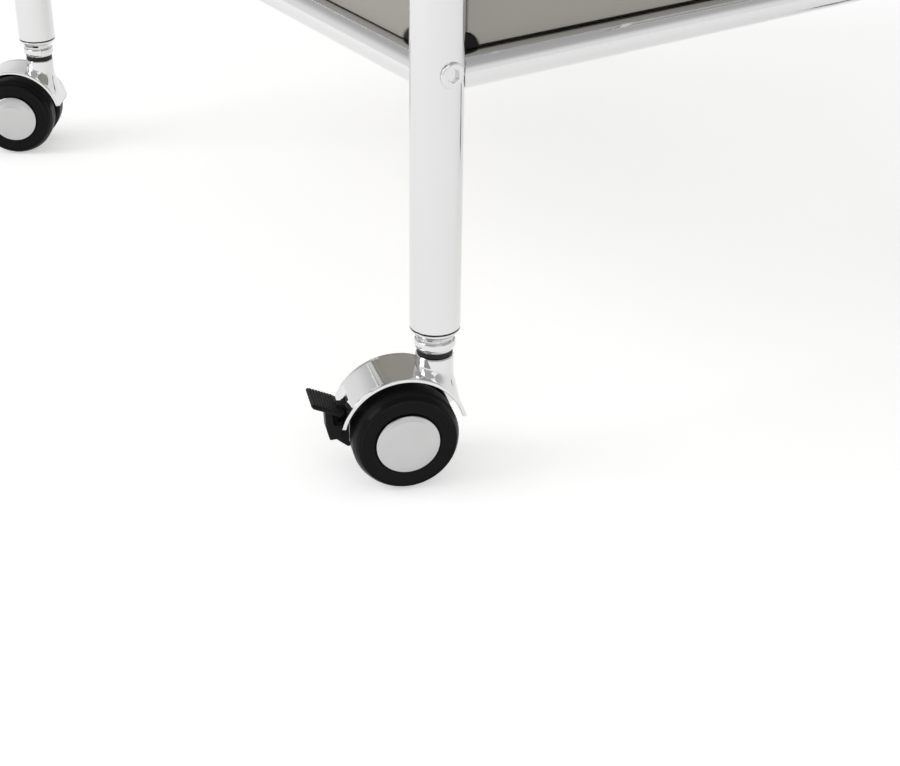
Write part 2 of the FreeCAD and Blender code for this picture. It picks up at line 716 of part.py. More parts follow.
hood_axle_hole = axial("hood_axle_hole", "Sizes.axle_dia", "Sizes.hood_half")
hood_free = cut("hood_free", hood_solid, [hood_bore, hood_axle_hole])
brake_hole = rod("hood_pin_hole", "Sizes.brake_pin_dia", "2 * Sizes.hood_half",
                 "Sizes.brake_pivot_x", "-Sizes.hood_half", "Sizes.brake_pivot_z", "Y")
hood_braked = cut("hood_braked", hood_free, [brake_slot, brake_room, brake_hole])

axle = axial("axle", "Sizes.axle_dia", "Sizes.axle_half")
brake_pin = rod("brake_pin", "Sizes.brake_pin_dia", "2 * Sizes.web_half",
                "Sizes.brake_pivot_x", "-Sizes.web_half", "Sizes.brake_pivot_z", "Y")

# Wheel and hub cap, turned about Z with the outer face upwards.
wheel = revolved("wheel", [
    ("Sizes.axle_dia / 2 + Sizes.axle_play", "Sizes.wheel_inner"),
    ("Sizes.wheel_dia / 2 - 1.5", "Sizes.wheel_inner"),
    ("Sizes.wheel_dia / 2", "Sizes.wheel_inner + 1.5"),
    ("Sizes.wheel_dia / 2", "Sizes.wheel_outer - 6"),
    ("Sizes.wheel_dia / 2 - 0.9", "Sizes.wheel_outer - 3.4"),
    ("Sizes.wheel_dia / 2 - 3.2", "Sizes.wheel_outer - 1.2"),
    ("Sizes.wheel_dia / 2 - 6", "Sizes.wheel_outer - 0.6"),
    ("Sizes.cap_dia / 2 + 0.4", "Sizes.wheel_outer - 0.6"),
    ("Sizes.cap_dia / 2 + 0.4", "Sizes.wheel_outer - 2"),
    ("Sizes.axle_dia / 2 + Sizes.axle_play", "Sizes.wheel_outer - 2"),
])
hub_cap = revolved("hub_cap", [
    ("0", "Sizes.wheel_outer - 2"),
    ("Sizes.cap_dia / 2", "Sizes.wheel_outer - 2"),
    ("Sizes.cap_dia / 2", "Sizes.wheel_outer"),
    ("Sizes.cap_dia / 2 - 1.5", "Sizes.wheel_outer + 0.9"),
    ("Sizes.cap_dia / 2 - 8", "Sizes.wheel_outer + 2.4"),
    ("0", "Sizes.wheel_outer + 3"),
])

# Brake lever: an arm and a fin between the wheels, a body beyond them and a wide foot paddle.
# The fin comes out through the slot in the hood.
brake_arm = padded("brake_arm", [
    ("Sizes.brake_pivot_x - 4", "Sizes.brake_pivot_z - 4"),
    ("56", "17"),
    ("56", "34"),
    ("Sizes.brake_pivot_x - 4", "Sizes.brake_pivot_z + 4"),
], "2 * (Sizes.slot_half - 0.4)")
brake_fin = padded("brake_fin", [
    ("44.5", "30"),
    ("57.5", "30"),
    ("57.5", "46.5"),
    ("54.4", "47.7"),
    ("49.6", "47"),
    ("46.5", "40"),
], "2 * (Sizes.slot_half - 0.4)")
brake_body = padded("brake_body", [
    ("52.4", "17.5"),
    ("55.5", "14"),
    ("60.5", "15"),
    ("62", "30"),
    ("63", "48"),
    ("57.6", "46.5"),
    ("56.8", "36"),
    ("52.4", "36"),
], "Sizes.brake_body_wide")
brake_paddle = padded("brake_paddle", [
    ("54.4", "44.9"),
    ("69.4", "49.1"),
    ("70.9", "50.9"),
    ("69.8", "52.1"),
    ("54.4", "47.8"),
], "Sizes.brake_paddle_wide")
brake_lever = cut("brake_lever", fuse("brake_solid", [brake_arm, brake_fin, brake_body, brake_paddle]),
                  [rod("brake_lever_hole", "Sizes.brake_pin_dia + 0.1", "2 * Sizes.hood_half",
                       "Sizes.brake_pivot_x", "-Sizes.hood_half", "Sizes.brake_pivot_z", "Y")])


def make_caster(sx, sy):
    """One caster under a leg, turned to its own trailing direction."""
    place = corner_name(sx, sy)
    turn = Rotation(Vector(0, 0, 1), TRAIL[(sx, sy)])
    spot = Placement(Vector(sx * half_width, sy * half_depth, 0), turn)
    braked = (sx, sy) in BRAKED
    copy_of(f"{place}_hood", hood_braked if braked else hood_free, spot)
    copy_of(f"{place}_axle", axle, spot)
    hub = Vector(size("caster_trail"), 0, size("wheel_dia") / 2)
    for letter, tilt in (("a", -90), ("b", 90)):
        seat = spot.multiply(Placement(hub, Rotation(Vector(1, 0, 0), tilt)))
        copy_of(f"{place}_wheel_{letter}", wheel, seat)
        copy_of(f"{place}_hub_cap_{letter}", hub_cap, seat)
    if braked:
        copy_of(f"{place}_brake_lever", brake_lever, spot)
        copy_of(f"{place}_brake_pin", brake_pin, spot)


for corner in CORNERS:
    make_caster(*corner)

# ---------------------------------------------------------------- check and write
doc.recompute()
for item in doc.Objects:
    if "Invalid" in item.State or "Error" in item.State:
        raise RuntimeError(f"{item.Name} failed: {item.State}")
os.makedirs("parts", exist_ok=True)
for item in NODES:
    shape = item.Shape
    if shape.isNull() or not shape.isValid() or not shape.Solids:
        raise RuntimeError(f"{item.Label} has no valid solid")
    shape.exportStep(f"parts/{item.Label}.step")
print(len(NODES), "nodes written")
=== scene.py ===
"""Looks of a spa trolley cart: chrome tube frame, painted steel panels, drawers and casters.

Metres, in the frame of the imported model: +Z is up, the drawers open towards -Y and the
origin is on the floor under the middle of the four legs. Each new piece is a surface
worked out on a grid of two parameters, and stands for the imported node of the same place.
"""
import logging
import math
from dataclasses import dataclass
from enum import Enum
from typing import Callable, Optional, Sequence

import bmesh
import bpy
import numpy as np
from mathutils import Euler, Matrix, Vector


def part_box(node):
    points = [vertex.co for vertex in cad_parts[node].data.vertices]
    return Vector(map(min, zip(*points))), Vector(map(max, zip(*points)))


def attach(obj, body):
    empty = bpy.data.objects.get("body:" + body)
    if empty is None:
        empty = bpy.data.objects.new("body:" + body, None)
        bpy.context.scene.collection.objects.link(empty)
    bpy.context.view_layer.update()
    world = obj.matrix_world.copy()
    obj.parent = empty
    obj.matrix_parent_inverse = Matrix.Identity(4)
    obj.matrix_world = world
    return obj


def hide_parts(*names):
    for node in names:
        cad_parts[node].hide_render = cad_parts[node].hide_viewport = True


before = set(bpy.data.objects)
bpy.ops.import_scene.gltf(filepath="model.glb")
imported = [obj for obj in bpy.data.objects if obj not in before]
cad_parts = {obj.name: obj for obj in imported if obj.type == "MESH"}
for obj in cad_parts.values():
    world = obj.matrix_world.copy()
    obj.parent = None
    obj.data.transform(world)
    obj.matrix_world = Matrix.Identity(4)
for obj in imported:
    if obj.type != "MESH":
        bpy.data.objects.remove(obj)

log = logging.getLogger("trolley")
Array = np.ndarray
Faces = list[tuple[int, ...]]


# ---------------------------------------------------------------- named places
class Level(Enum):
    """The three heights at which rails run round the frame."""

    LOW = "low"
    MID = "mid"
    TOP = "top"


class Tier(Enum):
    """The two drawers."""

    LOWER = "lower"
    UPPER = "upper"


class Corner(Enum):
    """The four corners: name, side of X, side of Y, trailing direction in degrees, brake."""

    FRONT_LEFT = ("front_left", -1, -1, 160.0, True)
    FRONT_RIGHT = ("front_right", 1, -1, 325.0, False)
    BACK_LEFT = ("back_left", -1, 1, 145.0, False)
    BACK_RIGHT = ("back_right", 1, 1, 340.0, True)

    @property
    def label(self) -> str:
        """The corner's name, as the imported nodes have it."""
        return self.value[0]

    @property
    def signs(self) -> tuple[int, int]:
        """Sides of X and Y on which the corner lies."""
        return self.value[1], self.value[2]

    @property
    def trail(self) -> float:
        """Direction in which the caster trails, in radians from +X."""
        return math.radians(self.value[3])

    @property
    def braked(self) -> bool:
        """Whether the caster has a foot brake."""
        return self.value[4]

    @property
    def axis(self) -> Vector:
        """Point where the leg's axis meets the floor."""
        low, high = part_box(f"leg_{self.label}")
        return Vector(((low.x + high.x) / 2, (low.y + high.y) / 2, 0.0))


# ---------------------------------------------------------------- surfaces
@dataclass
class Surface:
    """Points and faces of one closed shape.

    Args:
        points: array of n rows of x, y, z.
        faces: tuples of point numbers.
    """

    points: Array
    faces: Faces

    def seated(self, origin: Vector, across: Vector, along: Vector, out: Vector) -> "Surface":
        """The shape moved so that its x, y and z run along three given directions.

        Args:
            origin: where the shape's own origin goes.
            across: direction of its x.
            along: direction of its y.
            out: direction of its z.

        Returns:
            A new surface with the same faces.
        """
        turn = np.array([across, along, out], float)
        return Surface(self.points @ turn + np.array(origin, float), self.faces)

    def standing(self, x: float, y: float, z: float = 0.0) -> "Surface":
        """The shape moved without turning."""
        return self.seated(Vector((x, y, z)), X, Y, Z)


X, Y, Z = Vector((1, 0, 0)), Vector((0, 1, 0)), Vector((0, 0, 1))


def rounded(points: Sequence[tuple[float, float, float]], steps: int = 5,
            closed: bool = False) -> Array:
    """A polyline with its corners rounded.

    Each corner p of radius r is replaced by the parabola from a to b, where a and b lie on
    its two edges r times the tangent of half the turn away, at most 0.48 of an edge:
    q(s) = (1-s)^2 a + 2 s (1-s) p + s^2 b.

    Args:
        points: rows of x, y and the corner's radius.
        steps: divisions of each rounding.
        closed: whether the last point joins the first.

    Returns:
        Array of x, y rows without repeated points.
    """
    table = np.array(points, float)
    corner, radius = table[:, :2], table[:, 2].copy()
    if not closed:
        radius[[0, -1]] = 0.0
    back, ahead = np.roll(corner, 1, 0) - corner, np.roll(corner, -1, 0) - corner
    back_run, ahead_run = np.linalg.norm(back, axis=1), np.linalg.norm(ahead, axis=1)
    back, ahead = back / back_run[:, None], ahead / ahead_run[:, None]
    turn = np.pi - np.arccos(np.clip((back * ahead).sum(1), -1, 1))
    reach = np.minimum(radius * np.tan(turn / 2), 0.48 * np.minimum(back_run, ahead_run))
    a, b = corner + back * reach[:, None], corner + ahead * reach[:, None]
    s = np.linspace(0, 1, steps + 1)[None, :, None]
    curve = (1 - s) ** 2 * a[:, None] + 2 * s * (1 - s) * corner[:, None] + s ** 2 * b[:, None]
    curve = curve.reshape(-1, 2)
    step = np.linalg.norm(curve - np.roll(curve, 1, 0), axis=1)
    step[0] = 1.0 if not closed else step[0]
    return curve[step > 1e-7]


def grid_faces(rows: int, cols: int, loop: bool = False) -> Faces:
    """Quads over a grid of points numbered row by row, each row being a closed ring.

    Args:
        rows: number of rings.
        cols: points in a ring.
        loop: whether the last ring joins the first, or both ends are closed by one face.

    Returns:
        The faces of a closed shape.
    """
    i, j = np.meshgrid(np.arange(rows if loop else rows - 1), np.arange(cols), indexing="ij")
    up, on = (i + 1) % rows, (j + 1) % cols
    quads = np.stack([i * cols + j, i * cols + on, up * cols + on, up * cols + j], -1)
    faces = [tuple(q) for q in quads.reshape(-1, 4).tolist()]
    if not loop:
        faces.append(tuple(range(cols - 1, -1, -1)))
        faces.append(tuple(range((rows - 1) * cols, rows * cols)))
    return faces


def ringed(rings: Array, loop: bool = False) -> Surface:
    """A closed shape over rings of points: array of rows, columns and x, y, z."""
    rows, cols = rings.shape[:2]
    return Surface(rings.reshape(-1, 3), grid_faces(rows, cols, loop))


def turned(profile: Array, segments: int = 96, loop: bool = False,
           shape: Optional[Callable[[Array], Array]] = None) -> Surface:
    """A profile turned about Z: point(i, t) = (r_i cos t, r_i sin t, h_i).

    Args:
        profile: rows of radius and height. A radius of 0 at an end becomes a tiny one.
        segments: divisions of the turn.
        loop: whether the profile closes on itself, as a tube's wall does.
        shape: factor of the radius at each angle, for each row of the profile.

    Returns:
        The closed shape.
    """
    angle = np.linspace(0, 2 * np.pi, segments, endpoint=False)
    radius = np.maximum(profile[:, 0], 1e-5)[:, None] * np.ones_like(angle)[None, :]
    if shape is not None:
        radius = radius * shape(angle)
    height = profile[:, 1][:, None] * np.ones_like(angle)[None, :]
    return ringed(np.stack([radius * np.cos(angle), radius * np.sin(angle), height], -1), loop)


def tube(outer: float, inner: float, run: float, edge: float = 0.0004) -> Surface:
    """A round tube from z = 0 to z = run with eased edges."""
    wall = [(outer, 0, edge), (outer, run, edge), (inner, run, edge), (inner, 0, edge)]
    return turned(rounded(wall, 4, True), 128, True)


def slab(outline: Array, half: float, edge: float) -> Surface:
    """An outline in x and z pushed to both sides along y, with eased edges.

    The two outermost rings are moved in along each corner's own normal by edge, in
    quarter-circle steps: inset = edge (1 - cos k), y = half - edge (1 - sin k).

    Args:
        outline: rows of x, z round the shape.
        half: half its width along y.
        edge: radius of the eased edges.

    Returns:
        The closed shape.
    """
    ahead = np.roll(outline, -1, 0) - np.roll(outline, 1, 0)
    x, z = outline.T
    area = np.sum(x * np.roll(z, -1) - z * np.roll(x, -1))
    normal = np.stack([-ahead[:, 1], ahead[:, 0]], -1) * np.sign(area)
    normal /= np.linalg.norm(normal, axis=1)[:, None]
    k = np.linspace(0, np.pi / 2, 4)
    inset = edge * np.concatenate([1 - np.sin(k), 1 - np.sin(k[::-1])])
    side = np.concatenate([-(half - edge * (1 - np.cos(k))), half - edge * (1 - np.cos(k[::-1]))])
    flat = outline[None] + normal[None] * inset[:, None, None]
    width = np.broadcast_to(side[:, None], flat.shape[:2])
    return ringed(np.stack([flat[..., 0], width, flat[..., 1]], -1))


# ---------------------------------------------------------------- finishes
@dataclass(frozen=True)
class Finish:
    """A surface finish made from noise in the object's own coordinates.

    Args:
        name: name of the material.
        colour: base colour, linear.
        metallic: 1 for bare metal, 0 for paint and plastic.
        roughness: middle of the roughness.
        spread: how far the roughness wanders either way.
        shade: share by which the colour wanders either way.
        mottle: size of the wandering patches, per metre.
        grain: size of the fine bump, per metre.
        bump: height of the fine bump, in metres.
        shine: strength of the plain reflection of paint and plastic.
        index: refractive index of paint and plastic, lower for a deeper black.
        streak: stretch of the patches along Z, 1 for none.
    """

    name: str
    colour: tuple[float, float, float]
    metallic: float
    roughness: float
    spread: float
    shade: float
    mottle: float
    grain: float
    bump: float
    shine: float = 0.5
    index: float = 1.45
    streak: float = 1.0

    def material(self) -> bpy.types.Material:
        """The finish as a material, made once."""
        title = f"{self.name} finish"
        ready = bpy.data.materials.get(title)
        if ready is not None:
            return ready
        made = bpy.data.materials.new(title)
        made.use_nodes = True
        nodes, links = made.node_tree.nodes, made.node_tree.links
        skin = nodes["Principled BSDF"]
        skin.inputs["Metallic"].default_value = self.metallic
        skin.inputs["Specular IOR Level"].default_value = self.shine
        skin.inputs["IOR"].default_value = self.index
        place = nodes.new("ShaderNodeTexCoord")
        stretch = nodes.new("ShaderNodeMapping")
        stretch.inputs["Scale"].default_value = (1.0, 1.0, self.streak)
        links.new(place.outputs["Object"], stretch.inputs["Vector"])
        patches = nodes.new("ShaderNodeTexNoise")
        patches.inputs["Scale"].default_value = self.mottle
        patches.inputs["Detail"].default_value = 5.0
        links.new(stretch.outputs["Vector"], patches.inputs["Vector"])
        tint = nodes.new("ShaderNodeMix")
        tint.data_type = "RGBA"
        tint.inputs[6].default_value = (*[c * (1 - self.shade) for c in self.colour], 1)
        tint.inputs[7].default_value = (*[min(c * (1 + self.shade), 1) for c in self.colour], 1)
        links.new(patches.outputs["Fac"], tint.inputs[0])
        links.new(tint.outputs[2], skin.inputs["Base Color"])
        dull = nodes.new("ShaderNodeMapRange")
        dull.inputs["From Min"].default_value = 0.3
        dull.inputs["From Max"].default_value = 0.7
        dull.inputs["To Min"].default_value = max(self.roughness - self.spread, 0.01)
        dull.inputs["To Max"].default_value = self.roughness + self.spread
        links.new(patches.outputs["Fac"], dull.inputs["Value"])
        links.new(dull.outputs["Result"], skin.inputs["Roughness"])
        fine = nodes.new("ShaderNodeTexNoise")
        fine.inputs["Scale"].default_value = self.grain
        fine.inputs["Detail"].default_value = 3.0
        links.new(place.outputs["Object"], fine.inputs["Vector"])
        relief = nodes.new("ShaderNodeBump")
        relief.inputs["Strength"].default_value = 1.0
        relief.inputs["Distance"].default_value = self.bump
        links.new(fine.outputs["Fac"], relief.inputs["Height"])
        links.new(relief.outputs["Normal"], skin.inputs["Normal"])
        return made


CHROME = Finish("bright_chrome", (0.73, 0.73, 0.732), 1.0, 0.07, 0.02, 0.02, 14, 240, 4e-6)
SATIN_CHROME = Finish("satin_chrome", (0.55, 0.55, 0.55), 1.0, 0.17, 0.05, 0.05, 90, 900, 6e-6)
GREIGE = Finish("greige_paint", (0.322, 0.312, 0.274), 0.0, 0.42, 0.05, 0.02, 9, 1400, 1.2e-5,
                shine=0.35)
GLOSS_BLACK = Finish("gloss_black", (0.006, 0.006, 0.0065), 0.0, 0.20, 0.05, 0.15, 40, 700, 4e-6,
                     shine=0.30, index=1.22)
TREAD = Finish("wheel_tread", (0.007, 0.007, 0.0075), 0.0, 0.38, 0.06, 0.2, 60, 1500, 1.5e-5,
               shine=0.30, index=1.22)
LEVER_BLACK = Finish("matte_black", (0.009, 0.009, 0.0095), 0.0, 0.42, 0.08, 0.2, 80, 2200, 3e-5,
                     shine=0.30, index=1.28)
RUBBER = Finish("black_rubber", (0.010, 0.010, 0.010), 0.0, 0.5, 0.08, 0.2, 120, 2500, 3e-5,
                shine=0.3)
ZINC = Finish("plain_steel", (0.50, 0.51, 0.52), 1.0, 0.36, 0.08, 0.08, 60, 1200, 1e-5, streak=0.2)


def make_piece(name: str, surfaces: Sequence[Surface], finish: Finish, body: str,
               stands_for: Sequence[str]) -> bpy.types.Object:
    """One finished piece from closed surfaces.

    Args:
        name: the piece's name.
        surfaces: its closed shapes, in place.
        finish: its finish.
        body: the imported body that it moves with.
        stands_for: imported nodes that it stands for, one at least.

    Returns:
        The object, at the origin, with its place in its mesh.
    """
    counts = np.cumsum([0] + [len(s.points) for s in surfaces])
    faces = [tuple(n + start for n in face)
             for s, start in zip(surfaces, counts[:-1].tolist()) for face in s.faces]
    mesh = bpy.data.meshes.new(name)
    mesh.from_pydata(np.concatenate([s.points for s in surfaces]).tolist(), [], faces)
    work = bmesh.new()
    work.from_mesh(mesh)
    bmesh.ops.recalc_face_normals(work, faces=work.faces)
    work.to_mesh(mesh)
    work.free()
    mesh.materials.append(finish.material())
    mesh.shade_smooth()
    mesh.set_sharp_from_angle(angle=math.radians(38))
    piece = bpy.data.objects.new(name, mesh)
    bpy.context.scene.collection.objects.link(piece)
    even = piece.modifiers.new("even shading", "WEIGHTED_NORMAL")
    even.keep_sharp = True
    even.weight = 100
    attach(piece, body)
    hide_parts(*stands_for)
    log.info("%s: %d faces", name, len(mesh.polygons))
    return piece


def dress(nodes: Sequence[str], finish: Finish) -> None:
    """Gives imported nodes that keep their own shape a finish."""
    for name in nodes:
        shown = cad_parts[name]
        shown.data.materials.clear()
        shown.data.materials.append(finish.material())
        log.info("%s: dressed in %s", name, finish.name)


# ---------------------------------------------------------------- tube frame
@dataclass
class TubeFrame:
    """Legs, rails, bolts and leg caps.

    Args:
        leg_wall: thickness of a leg's tube.
        rail_wall: thickness of a rail's tube.
        rail_radius: outer radius of a rail.
        saddle: radius, about a leg's axis, to which a rail's end is cut.
        bolt_lift: height of a bolt's axis above the rail's.
        head_radius: radius of a bolt's head.
        head_rise: height of a bolt's head.
        head_sink: how far its seat is let into the leg's round.
        socket: half the width across the flats of its socket.
        socket_depth: depth of its socket.
        bolt_radius: radius of its shank.
        bolt_reach: length of its shank.
    """

    leg_wall: float = 0.0015
    rail_wall: float = 0.0015
    rail_radius: float = 0.0095
    saddle: float = 0.0142
    bolt_lift: float = 0.004
    head_radius: float = 0.0069
    head_rise: float = 0.0020
    head_sink: float = 0.0006
    socket: float = 0.0031
    socket_depth: float = 0.0026
    bolt_radius: float = 0.003
    bolt_reach: float = 0.044

    def legs(self) -> None:
        """Four leg tubes."""
        for corner in Corner:
            low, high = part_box(f"leg_{corner.label}")
            radius = (high.x - low.x) / 2
            shape = tube(radius, radius - self.leg_wall, high.z - low.z)
            axis = corner.axis
            make_piece(f"leg_tube_{corner.label}", [shape.standing(axis.x, axis.y, low.z)],
                       CHROME, "frame", [f"leg_{corner.label}"])

    def rail(self, run: float) -> Surface:
        """A rail between two legs, its ends cut round to sit against them.

        At a distance s from the rail's upright middle plane the saddle of radius R starts
        c = sqrt(R^2 - s^2) from the leg's axis, so a point at the share u of the run goes
        to c + (run - 2 c) u.

        Args:
            run: distance between the two legs' axes.

        Returns:
            The rail along z, with its sideways direction along x.
        """
        shape = tube(self.rail_radius, self.rail_radius - self.rail_wall, run)
        points = shape.points.copy()
        clear = np.sqrt(self.saddle ** 2 - points[:, 0] ** 2)
        points[:, 2] = clear + (run - 2 * clear) * points[:, 2] / run
        return Surface(points, shape.faces)

    def rails(self, level: Level) -> None:
        """The four rails of one level.

        Args:
            level: which level.
        """
        low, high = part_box(f"{level.value}_rails")
        x, y, z = high.x - self.rail_radius, high.y - self.rail_radius, (low.z + high.z) / 2
        cross, side = self.rail(2 * x), self.rail(2 * y)
        placed = []
        for sign in (-1, 1):
            placed.append(cross.seated(Vector((-x, sign * y, z)), Y, Z, X))
            placed.append(side.seated(Vector((sign * x, -y, z)), -X, Z, Y))
        make_piece(f"{level.value}_rail_tubes", placed, CHROME, "frame", [f"{level.value}_rails"])

    def bolt(self) -> Surface:
        """A button-head bolt with its head above z = 0.

        Each ring is a circle, and those of the socket are hexagons: their radius is the
        half width across the flats over the cosine of the angle from the nearest flat.
        """
        head = rounded([
            (0.0, -self.bolt_reach, 0),
            (self.bolt_radius, -self.bolt_reach, 0.0006),
            (self.bolt_radius, 0.0, 0),
            (self.head_radius, 0.0, 0.0003),
            (self.head_radius, self.head_rise - 0.0007, 0.0006),
            (self.head_radius - 0.0012, self.head_rise, 0.0020),
            (self.socket * 1.30, self.head_rise, 0),
        ], 8)
        floor = self.head_rise - self.socket_depth
        hexed = np.array([
            (self.socket * 1.06, self.head_rise - 0.00005),
            (self.socket, self.head_rise - 0.0003),
            (self.socket, floor + 0.0001),
            (self.socket * 0.94, floor),
            (0.0, floor - 0.0008),
        ])
        is_hex = np.concatenate([np.zeros(len(head)), np.ones(len(hexed))])[:, None]

        def factor(angle: Array) -> Array:
            """1 on round rings, the hexagon's own factor on the socket's."""
            flat = 1 / np.cos((angle + np.pi / 6) % (np.pi / 3) - np.pi / 6)
            return 1 + is_hex * (flat[None, :] - 1)

        return turned(np.concatenate([head, hexed]), 96, False, factor)

    def bolts(self) -> None:
        """A bolt through each leg at each level, its head on the leg's outer side."""
        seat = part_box("leg_back_right")[1].y - self.head_sink
        placed = []
        for corner in Corner:
            sign = corner.signs[1]
            for level in Level:
                rail_low, rail_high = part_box(f"{level.value}_rails")
                height = (rail_low.z + rail_high.z) / 2 + self.bolt_lift
                origin = Vector((corner.axis.x, sign * seat, height))
                placed.append(self.bolt().seated(origin, X, -sign * Z, sign * Y))
        make_piece("button_head_bolts", placed, CHROME, "frame", ["frame_bolts"])

    def caps(self) -> None:
        """A domed plug in the top of each leg."""
        radius, plug, rise, depth = 0.014, 0.0124, 0.0042, 0.012
        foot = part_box("leg_caps")[1].z - rise
        profile = rounded([
            (0.0, -depth, 0), (plug, -depth, 0.0006), (plug, 0.0, 0), (radius, 0.0, 0.0003),
            (radius, 0.0016, 0.0022), (radius - 0.005, rise - 0.0003, 0.006), (0.0, rise, 0),
        ], 8)
        shapes = [turned(profile, 96).standing(c.axis.x, c.axis.y, foot) for c in Corner]
        make_piece("domed_leg_caps", shapes, CHROME, "frame", ["leg_caps"])

    def build(self) -> None:
        """The whole frame."""
        self.legs()
        for level in Level:
            self.rails(level)
        self.bolts()
        self.caps()
        dress(["rail_plugs", "rail_spigots"], ZINC)


# ---------------------------------------------------------------- folded sheet
@dataclass(frozen=True)
class CornerCut:
    """How a sheet's corner is shaped.

    Args:
        radius: radius of the cut or, without a notch, of the rounded corner.
        centre: how far the notch's centre lies outside the corner along both edges.
        notch: whether the corner is cut out by a circle.
    """

    radius: float
    centre: float = 0.0
    notch: bool = True

    def arc(self, inset: float, steps: int) -> Array:
        """The corner's curve in distances along its next and its previous edge.

        A notch is the arc of the circle of radius plus inset between the two inset edges.
        A rounded corner is a quarter circle of radius less inset.

        Args:
            inset: how far the outline is moved in.
            steps: number of points.

        Returns:
            Array of rows, from the previous edge to the next.
        """
        if self.notch:
            radius = self.radius + inset
            low = math.asin((inset + self.centre) / radius)
            angle = np.linspace(math.pi / 2 - low, low, steps)
            middle = -self.centre
        else:
            radius = max(self.radius - inset, 2e-5)
            angle = np.linspace(math.pi, 1.5 * math.pi, steps)
            middle = inset + radius
        return middle + radius * np.stack([np.cos(angle), np.sin(angle)], -1)


PLAIN = CornerCut(0.0012, notch=False)


def sheet_outline(wide: float, high: float, cuts: Sequence[CornerCut], inset: float) -> Array:
    """Outline of a rectangular sheet with shaped corners, moved in by inset.

    Args:
        wide: width along x.
        high: height along y.
        cuts: corner shapes, counter-clockwise from the origin.
        inset: how far the outline is moved in.

    Returns:
        Array of x, y rows, the same number for every inset.
    """
    corners = np.array([(0, 0), (wide, 0), (wide, high), (0, high)], float)
    along = np.array([(1, 0), (0, 1), (-1, 0), (0, -1)], float)
    back = -np.roll(along, 1, 0)
    runs = []
    for cut, corner, ahead, behind in zip(cuts, corners, along, back):
        arc = cut.arc(inset, 15)
        runs.append(corner + arc[:, :1] * ahead + arc[:, 1:] * behind)
    return np.concatenate(runs)


def folded(wide: float, high: float, cuts: Sequence[CornerCut], section: Array) -> Surface:
    """A folded sheet: a section of inset and depth carried round the sheet's outline."""
    rings = [np.column_stack([outline, np.full(len(outline), depth)])
             for outline, depth in ((sheet_outline(wide, high, cuts, inset), depth)
                                    for inset, depth in section)]
    return ringed(np.array(rings))


def pan_section(deep: float, sheet: float, lip: float, bend: float) -> Array:
    """Section of a pan: outer face, bend, flange, return lip and the same line inside."""
    return rounded([
        (0.004, 0.0, 0), (0.0, 0.0, bend), (0.0, deep, bend * 0.8), (lip, deep, sheet * 0.4),
        (lip, deep - sheet, sheet * 0.4), (sheet, deep - sheet, sheet * 0.4),
        (sheet, sheet, sheet * 0.4), (0.004, sheet, 0),
    ], 5)


